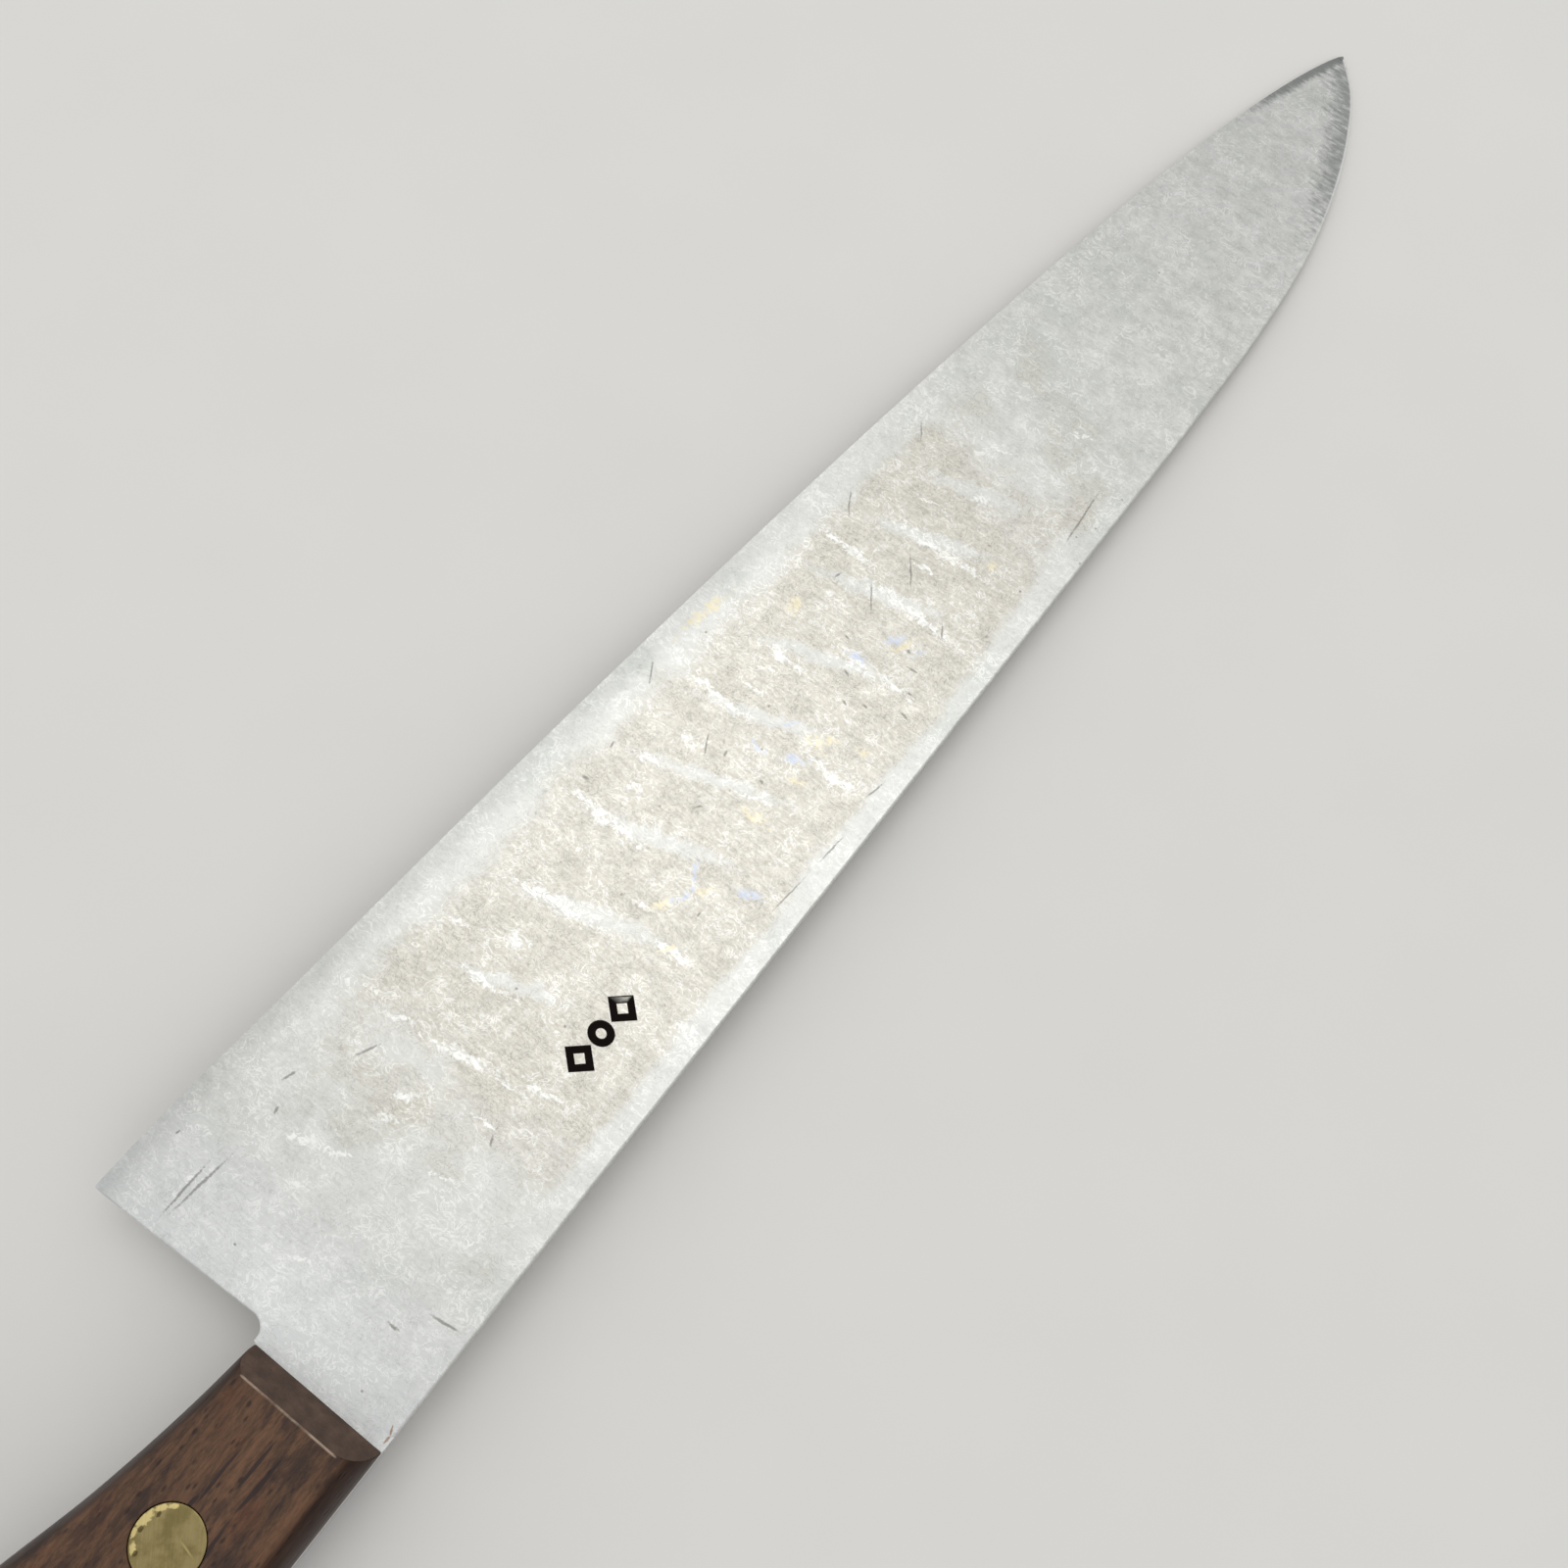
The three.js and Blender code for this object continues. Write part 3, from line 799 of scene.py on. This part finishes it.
def groundCarbonSteel(look):
    # Carbon steel, ground across the blade and aged: a pale satin with fine lines, a dull beige film
    # over the middle, white wipe marks, a few straw and blue stains, thin scratches and small pits
    material, tree = newMaterial("groundCarbonSteel")
    at = readAttribute(tree, "atKnife", "Vector")
    fromSpine = readAttribute(tree, "fromSpine")
    fromEdge = readAttribute(tree, "fromEdge")
    inStamp = readAttribute(tree, "inStamp")
    split = addNode(tree, "SeparateXYZ", {}, {0: at}).node
    along = split.outputs[0]
    onRight = maths(tree, "LESS_THAN", split.outputs[2], 0)
    # The right face has the same kinds of mark in other places
    moved = vectorMaths(tree, "SCALE", look["rightShift"], onRight)
    markAt = vectorMaths(tree, "ADD", at, moved)
    # Wide marks are bent a lot by the noise, thin ones a little
    wander = wanderBy(tree, pattern(tree, at, 2.4, detail=4, rough=0.65))
    bentAt = vectorMaths(tree, "ADD", markAt, vectorMaths(tree, "SCALE", wander, look["wideBend"]))
    easedAt = vectorMaths(tree, "ADD", markAt, vectorMaths(tree, "SCALE", wander, look["thinBend"]))

    grit = pattern(tree, at, look["gritSpacing"], (1, 7, 7), detail=3, rough=0.6)
    cloud = pattern(tree, at, 1.5, (1, 1.6, 1), detail=6, rough=0.78)
    fleck = pattern(tree, at, 0.75, (1, 1.5, 1), detail=5, rough=0.7, distortion=1.2)
    speckle = pattern(tree, at, 0.32, (1, 1.7, 1), detail=3, rough=0.7, offset=(7, 3, 0))
    blotch = pattern(tree, at, 13, (1, 1.3, 1), detail=5, rough=0.62)
    curls = pattern(tree, at, 1.7, (1, 1.3, 1), detail=3, rough=0.6, offset=(3, 9, 0), distortion=1.6)
    patchy = pattern(tree, at, 5, detail=3, offset=(11, 2, 0))

    colour = blendColour(tree, remap(tree, cloud, 0.36, 0.64), look["clean"], look["cloud"])
    colour = blendColour(tree, remap(tree, blotch, 0.46, 0.66, 0, 0.75), colour, look["haze"])
    # Paler over the first 22 mm of the blade, next to the handle
    colour = blendColour(tree, remap(tree, along, 1, 22, 0.6, 0), colour, look["paleNearHandle"])

    # Beige film: over the middle of the blade, patchy near the heel, kept off the spine and the edge
    uneven = times(tree, minus(tree, blotch, 0.5), 2.6)
    begins = remap(tree, plus(tree, remap(tree, along, *look["filmStart"], 0.1, 1.6), uneven), 0.25, 1.05)
    ends = remap(tree, plus(tree, remap(tree, along, *look["filmEnd"], 1.6, 0), uneven), 0.25, 1.05)
    ragged = plus(tree, times(tree, minus(tree, fleck, 0.5), 7), times(tree, minus(tree, blotch, 0.5), 11))
    offSpine = remap(tree, plus(tree, fromSpine, times(tree, ragged, 0.45)), 2.2, 4.2)
    offEdge = remap(tree, plus(tree, fromEdge, ragged), 3.8, 8.0)
    film = times(tree, times(tree, begins, ends), times(tree, offSpine, offEdge))
    bands = raggedMask(tree, strokeMask(tree, bentAt, bladeMarks["band"]), fleck, 1.3, 2.0, 0.2, 0.9, 0.85)
    film = times(tree, film, minus(tree, 1.0, bands))
    filmColour = blendColour(tree, remap(tree, speckle, 0.38, 0.62), look["patina"], look["patinaPale"])
    colour = blendColour(tree, times(tree, film, look["filmStrength"]), colour, filmColour)

    # Pale scraps and hair lines all over, thinner on the film; a few dark hair lines
    scrapStrength = minus(tree, 0.6, times(tree, film, 0.25))
    scraps = times(tree, remap(tree, fleck, 0.54, 0.68), scrapStrength)
    paleLines = times(tree, hairLines(tree, curls, 0.035), remap(tree, patchy, 0.40, 0.60, 0.1, 0.7))
    colour = blendColour(tree, maths(tree, "MAXIMUM", scraps, paleLines), colour, look["streak"])
    finer = pattern(tree, at, 1.9, detail=4, rough=0.65, offset=(1, 5, 0), distortion=2.0)
    darkLines = times(tree, hairLines(tree, finer, 0.022), remap(tree, patchy, 0.42, 0.58, 0.5, 0.0))
    darkLines = times(tree, darkLines, plus(tree, 0.45, times(tree, film, 0.55)))
    colour = blendColour(tree, darkLines, colour, look["scratch"])

    # Marks of use: each kind with its place, noise, reach, scatter, fade from, fade to and strength
    masks = {}
    for kind, place, noise, reach, scatter, low, high, strength in (
            ("streak", bentAt, fleck, 0.62, 2.3, 0.24, 0.60, 0.95),
            ("yellow", bentAt, fleck, 0.70, 2.3, 0.24, 0.60, 0.85),
            ("blue", bentAt, fleck, 0.70, 2.3, 0.24, 0.60, 0.9),
            ("rust", easedAt, fleck, 1.2, 1.2, 0.2, 0.7, 0.8),
            ("scratch", easedAt, grit, 1.1, 1.4, 0.25, 0.85, 0.72),
            ("curl", easedAt, speckle, 1.1, 1.4, 0.25, 0.85, 0.75)):
        spindle = strokeMask(tree, place, bladeMarks[kind])
        masks[kind] = raggedMask(tree, spindle, noise, reach, scatter, low, high, strength)
        colour = blendColour(tree, masks[kind], colour, look.get(kind, look["scratch"]))
    scratched = maths(tree, "MAXIMUM", masks["scratch"], masks["curl"])

    pits = scatteredSpots(tree, at, [look["pitSpacing"]] * 3, look["pitShare"], 0.02, 0.09)
    colour = blendColour(tree, times(tree, pits, 0.6), colour, look["pit"])

    # Towards the tip the dropped spine is scraped dark in short strokes, inside a thin painted highlight
    # along the spine's rounded edge, and the end of the edge is dull
    hatch = pattern(tree, at, 0.55, (1, 4, 4), detail=4, rough=0.7, offset=(1, 8, 0))
    hatch = times(tree, minus(tree, hatch, 0.5), 2.2)
    nearTip = remap(tree, along, *look["scrapedFrom"])
    scraped = times(tree, nearTip, remap(tree, fromSpine, 0.4, 7.5, 1, 0))
    wearAndHighlightBreakup = remap(tree, plus(tree, scraped, hatch), 0.35, 1.15, 0, 0.8)
    wearAndHighlightBreakup = times(tree, wearAndHighlightBreakup, remap(tree, scraped, 0, 0.25))
    colour = blendColour(tree, wearAndHighlightBreakup, colour, look["wornTip"])
    dullEnd = times(tree, remap(tree, along, *look["dullFrom"]), remap(tree, fromEdge, 0.3, 2.8, 1, 0))
    dull = remap(tree, plus(tree, dullEnd, times(tree, hatch, 0.6)), 0.25, 0.95, 0, 0.95)
    dull = times(tree, dull, remap(tree, dullEnd, 0, 0.25))
    colour = blendColour(tree, dull, colour, look["wornTip"])
    # Painted highlight: a thin bright line along the rounded spine towards the tip
    rim = times(tree, remap(tree, fromSpine, 0.25, 0.5, 1, 0), nearTip)
    colour = blendColour(tree, rim, colour, look["rim"])

    # The grinding lines show most in the film
    darkest = minus(tree, 0.95, times(tree, film, look["filmSpeckle"]))
    gritTone = remap(tree, grit, 0.36, 0.58, darkest, 1.0)
    # The first few millimetres from the edge are honed and look darker
    honed = times(tree, remap(tree, fromEdge, 0.5, 4.5, 1, 0), remap(tree, along, 105, 140, 0.17, 0))
    gritTone = times(tree, gritTone, minus(tree, 1.0, honed))
    colour = blendColour(tree, inStamp, shadeBy(tree, colour, gritTone), look["oxide"])

    height = plus(tree, times(tree, grit, 0.5), times(tree, fleck, 0.5))
    height = minus(tree, height, times(tree, scratched, 1.2))
    height = minus(tree, height, times(tree, pits, 1.5))
    normal = addNode(tree, "Bump", {}, {"Strength": 0.35, "Distance": 0.00004, "Height": height})
    rough = remap(tree, cloud, 0.3, 0.7, look["roughness"] - 0.05, look["roughness"] + 0.06)
    rough = plus(tree, rough, times(tree, inStamp, 0.3))
    closeMaterial(tree, {"Base Color": colour, "Metallic": 1.0, "Roughness": rough, "Normal": normal})
    return material


woodLook = {
    "dark": "#2B1F1D",
    "middle": "#4D3728",
    "light": "#6F4F38",
    "red": "#643A24",
    "pore": "#211613",
    # painted shade colour for the rounded sides
    "side": "#1F0E08",
    "end": "#523F33",
    "endDark": "#423128",
    "endLight": "#624C3E",
    # painted highlight colour for the front arris
    "arrisHighlight": "#B09C88",
    "roughness": 0.50,
    "endRoughness": 0.62,
    "waviness": (2, 1.6, 1.6),
    "poreSpacing": (1.98, 0.792, 0.792),
    "poreShare": 0.5,
    "sideShadeFrom": (7.85, 6.6),    # height off the tang's middle, from no painted side shade to the full painted shade and gloss
    "arrisHighlightFrom": (-2.36, -2.2),
}
darkVeins = [
    (-4, 7.4, -14, 7.7, 0.9), (-12, 7.7, -22, 7.2, 0.9), (-3.5, 9.3, -12, 9.2, 0.7),
    (-5, 11.9, -16, 11.8, 0.8), (-13, 12.2, -16, 12.6, 0.9), (-24, 8.4, -44, 8, 1.2),
    (-26, 16.8, -40, 17.4, 0.9), (-62, 9.2, -84, 8.6, 1.3), (-64, 18.4, -90, 19.2, 1.2),
    (-102, 11.5, -116, 12.5, 1.1),
]


def oiledRosewood(look):
    # Rosewood, planed and oiled: brown with dark violet veins and open pores along the grain; painted shade
    # darkens and reddens the rounded sides, which are glossier, and the front arris has a painted highlight
    material, tree = newMaterial("oiledRosewood")
    at = readAttribute(tree, "atKnife", "Vector")
    split = addNode(tree, "SeparateXYZ", {}, {0: at}).node
    height = maths(tree, "ABSOLUTE", split.outputs[2])
    wander = wanderBy(tree, pattern(tree, at, 7, (3, 1, 1)))
    grainAt = vectorMaths(tree, "ADD", at, vectorMaths(tree, "MULTIPLY", wander, look["waviness"]))

    bands = pattern(tree, grainAt, 2.2, (12, 1, 1), detail=5, rough=0.65)
    fibres = pattern(tree, grainAt, 0.4, (4.5, 1, 1), detail=5, rough=0.75)
    patches = pattern(tree, at, 6, (2.2, 1, 1), detail=3, offset=(3, 1, 0))
    tone = plus(tree, times(tree, bands, 0.5), times(tree, fibres, 0.5))
    colour = addNode(tree, "ValToRGB", {"stops": [(0.33, look["dark"]), (0.45, look["middle"]),
                                                  (0.60, look["light"])]}, {0: tone})
    colour = blendColour(tree, remap(tree, patches, 0.52, 0.70, 0, 0.5), colour, look["red"])
    veins = strokeMask(tree, grainAt, darkVeins)
    breakUp = pattern(tree, at, 0.9, (3, 1, 1), detail=4, rough=0.6)
    veins = remap(tree, minus(tree, times(tree, veins, 1.9), breakUp), 0.0, 0.5, 0, 0.85)
    colour = blendColour(tree, veins, colour, look["dark"])
    shade = pattern(tree, at, 3.2, (2.5, 1, 1), detail=5, rough=0.7, offset=(2, 6, 0))
    colour = blendColour(tree, remap(tree, shade, 0.50, 0.64, 0, 0.6), colour, look["dark"])

    pores = scatteredSpots(tree, grainAt, look["poreSpacing"], look["poreShare"], 0.10, 0.30)
    colour = blendColour(tree, times(tree, pores, 0.7), colour, look["pore"])
    # Painted shade on the rounded sides: darker and redder towards the side colour; the same mask also
    # lowers roughness and specular level
    sideShadeAndGloss = remap(tree, height, *look["sideShadeFrom"])
    colour = blendColour(tree, times(tree, sideShadeAndGloss, 0.8), colour, look["side"])
    # A painted highlight along the front arris, pale in pieces that a noise breaks up
    arrisHighlight = remap(tree, split.outputs[0], *look["arrisHighlightFrom"])
    arrisHighlight = times(tree, arrisHighlight, remap(tree, height, 7.7, 7.9))
    # This noise only breaks the painted arris highlight into pieces
    wearAndHighlightBreakup = pattern(tree, at, 3.1, detail=5, rough=0.65, offset=(0, 4, 0))
    arrisHighlight = times(tree, arrisHighlight, remap(tree, wearAndHighlightBreakup, 0.34, 0.64, 0.15, 0.85))
    colour = blendColour(tree, arrisHighlight, colour, look["arrisHighlight"])

    relief = minus(tree, times(tree, fibres, 0.35), pores)
    normal = addNode(tree, "Bump", {}, {"Strength": 0.5, "Distance": 0.00006, "Height": relief})
    rough = remap(tree, bands, 0.3, 0.7, look["roughness"] + 0.06, look["roughness"] - 0.04)
    rough = minus(tree, rough, times(tree, sideShadeAndGloss, 0.12))
    closeMaterial(tree, {"Base Color": colour, "Roughness": rough, "Normal": normal, "IOR": 1.5,
                         "Specular IOR Level": remap(tree, sideShadeAndGloss, 0, 1, 0.28, 0.13)})
    return material


def sawnRosewoodEnd(look):
    # The same wood cut across the grain and sanded: flat grey-brown, with pores as fine dots
    material, tree = newMaterial("sawnRosewoodEnd")
    at = readAttribute(tree, "atKnife", "Vector")
    bands = pattern(tree, at, 2.4, (16, 1, 1), detail=4, rough=0.6)
    dust = pattern(tree, at, 0.22, detail=3, rough=0.6)
    colour = addNode(tree, "ValToRGB", {"stops": [(0.30, look["endDark"]), (0.50, look["end"]),
                                                  (0.70, look["endLight"])]}, {0: bands})
    colour = blendColour(tree, remap(tree, dust, 0.56, 0.72, 0, 0.5), colour, look["pore"])
    normal = addNode(tree, "Bump", {}, {"Strength": 0.4, "Distance": 0.00003, "Height": dust})
    closeMaterial(tree, {"Base Color": colour, "Roughness": look["endRoughness"], "Normal": normal,
                         "IOR": 1.5, "Specular IOR Level": 0.3})
    return material


brassLook = {
    "tarnish": "#9F8F62",
    "tarnishDark": "#84774D",
    "bright": "#DECB8C",
    "dent": "#4A3F22",
    "roughness": 0.42,
    # Round the front head: degrees, mm from its middle, and size
    "rimPatches": [(134, 3.55, 1.2), (83, 3.6, 2.0), (53, 3.7, 1.3), (33, 3.75, 1.0), (110, 3.8, 1.0)],
    "rimDents": [(100, 3.3, 0.8), (60, 3.2, 0.7), (143, 3.4, 0.7)],
    "scratch": (0.6, -3.2, 1.1, -0.8, 0.3),
}


def filedBrass(look):
    # Brass filed flush with the wood and tarnished: olive gold with fine straight scratches, bright
    # where the rim is knocked
    material, tree = newMaterial("filedBrass")
    at = readAttribute(tree, "atKnife", "Vector")
    dull = pattern(tree, at, 2.2, detail=4, rough=0.6)
    lines = pattern(tree, addNode(tree, "Mapping", {}, {"Vector": at, "Rotation": (0, 0, 0.9)}), 0.16,
                    (1, 22, 22), detail=3, rough=0.6)
    colour = blendColour(tree, remap(tree, dull, 0.35, 0.65), look["tarnish"], look["tarnishDark"])
    x0, y0 = rivetPlaces["front"].xy
    bright, dents = [], []
    for angle, radius, size in look["rimPatches"]:
        across, up = math.cos(math.radians(angle)), math.sin(math.radians(angle))
        x, y = x0 + radius * across, y0 + radius * up
        dx, dy = -0.5 * size * up, 0.5 * size * across
        bright.append((x - dx, y - dy, x + dx, y + dy, size * 0.8))
    for angle, radius, size in look["rimDents"]:
        x, y = x0 + radius * math.cos(math.radians(angle)), y0 + radius * math.sin(math.radians(angle))
        dents.append((x - 0.2, y, x + 0.2, y, size))
    rag = pattern(tree, at, 0.35, detail=4, rough=0.65)
    wearAndHighlightBreakup = raggedMask(tree, strokeMask(tree, at, bright), rag, 1.7, 2.4, 0.35, 0.9, 0.95)
    dented = raggedMask(tree, strokeMask(tree, at, dents), rag, 1.7, 2.4, 0.35, 0.9, 1.0)
    colour = blendColour(tree, wearAndHighlightBreakup, colour, look["bright"])
    colour = blendColour(tree, times(tree, dented, 0.8), colour, look["dent"])
    colour = shadeBy(tree, colour, remap(tree, lines, 0.3, 0.7, 0.88, 1.0))
    dx0, dy0, dx1, dy1, width = look["scratch"]
    scored = strokeMask(tree, at, [(x0 + dx0, y0 + dy0, x0 + dx1, y0 + dy1, width)])
    colour = blendColour(tree, times(tree, scored, 0.5), colour, look["bright"])
    height = minus(tree, times(tree, lines, 0.4), dented)
    normal = addNode(tree, "Bump", {}, {"Strength": 0.5, "Distance": 0.00005, "Height": height})
    rough = remap(tree, dull, 0.3, 0.7, look["roughness"] - 0.06, look["roughness"] + 0.06)
    closeMaterial(tree, {"Base Color": colour, "Metallic": 1.0, "Roughness": rough, "Normal": normal})
    return material


steel = groundCarbonSteel(steelLook)
wood = oiledRosewood(woodLook)
woodEnd = sawnRosewoodEnd(woodLook)
brass = filedBrass(brassLook)
print("materials made")

finishPiece(bladeMesh(), "knifeBlade", "blade", [steel], 40)
print("blade made")

for sideName, side in (("left", 1), ("right", -1)):
    holes = [rivetHole(place, side) for place in rivetPlaces.values()]
    scale = cutAway(scaleMesh(side), holes)
    finishPiece(scale, sideName + "ScaleWood", sideName + "_scale", [wood, woodEnd])
print("scales made")

for name, place in rivetPlaces.items():
    for part, profile, side in (("socket", rivetSocketProfile(), 1), ("pin", rivetPinProfile(), -1)):
        mesh = turnedMesh(name + part, profile, side, place)
        finishPiece(mesh, name + "Rivet" + part.capitalize(), name + "_rivet_" + part,
                    [brass])
print("rivets made")

# A pale floor, an even sky and one large soft lamp
studio = {
    "floor": "#E4E2DD",
    "floorShade": "#DFDDD8",
    "world": "#F2F3F5",
    "worldStrength": 0.85,
    "keyPower": 1.02,
    "keySize": 0.55,
    "keyPlace": (250, 150, 760),    # in the knife's frame
    "keyAim": (90, 20, 0),
}


def makeFloor():
    bpy.ops.mesh.primitive_grid_add(x_subdivisions=8, y_subdivisions=8, size=8)
    floor = bpy.context.object
    floor.name = "studioFloor"
    material, tree = newMaterial("mattePaintedBoard")
    at = addNode(tree, "TexCoord").node.outputs["Object"]
    soft = addNode(tree, "TexNoise", {}, {"Vector": at, "Scale": 40, "Detail": 3})
    colour = blendColour(tree, soft, studio["floor"], studio["floorShade"])
    closeMaterial(tree, {"Base Color": colour, "Roughness": 0.9})
    floor.data.materials.append(material)


def makeLight():
    world = bpy.data.worlds.new("studioWorld")
    world.use_nodes = True
    background = world.node_tree.nodes["Background"]
    background.inputs["Color"].default_value = toLinear(studio["world"])
    background.inputs["Strength"].default_value = studio["worldStrength"]
    bpy.context.scene.world = world
    data = bpy.data.lights.new("keyLight", "AREA")
    data.shape = "DISK"
    data.size = studio["keySize"]
    data.energy = studio["keyPower"]
    key = addObject("keyLight", data)
    place = knifeToRow @ Vector(studio["keyPlace"])
    aim = knifeToRow @ Vector(studio["keyAim"])
    key.location = place
    key.rotation_euler = (place - aim).to_track_quat("Z", "Y").to_euler()
    bpy.context.scene.view_settings.view_transform = "Standard"


makeFloor()
makeLight()
print("studio made")
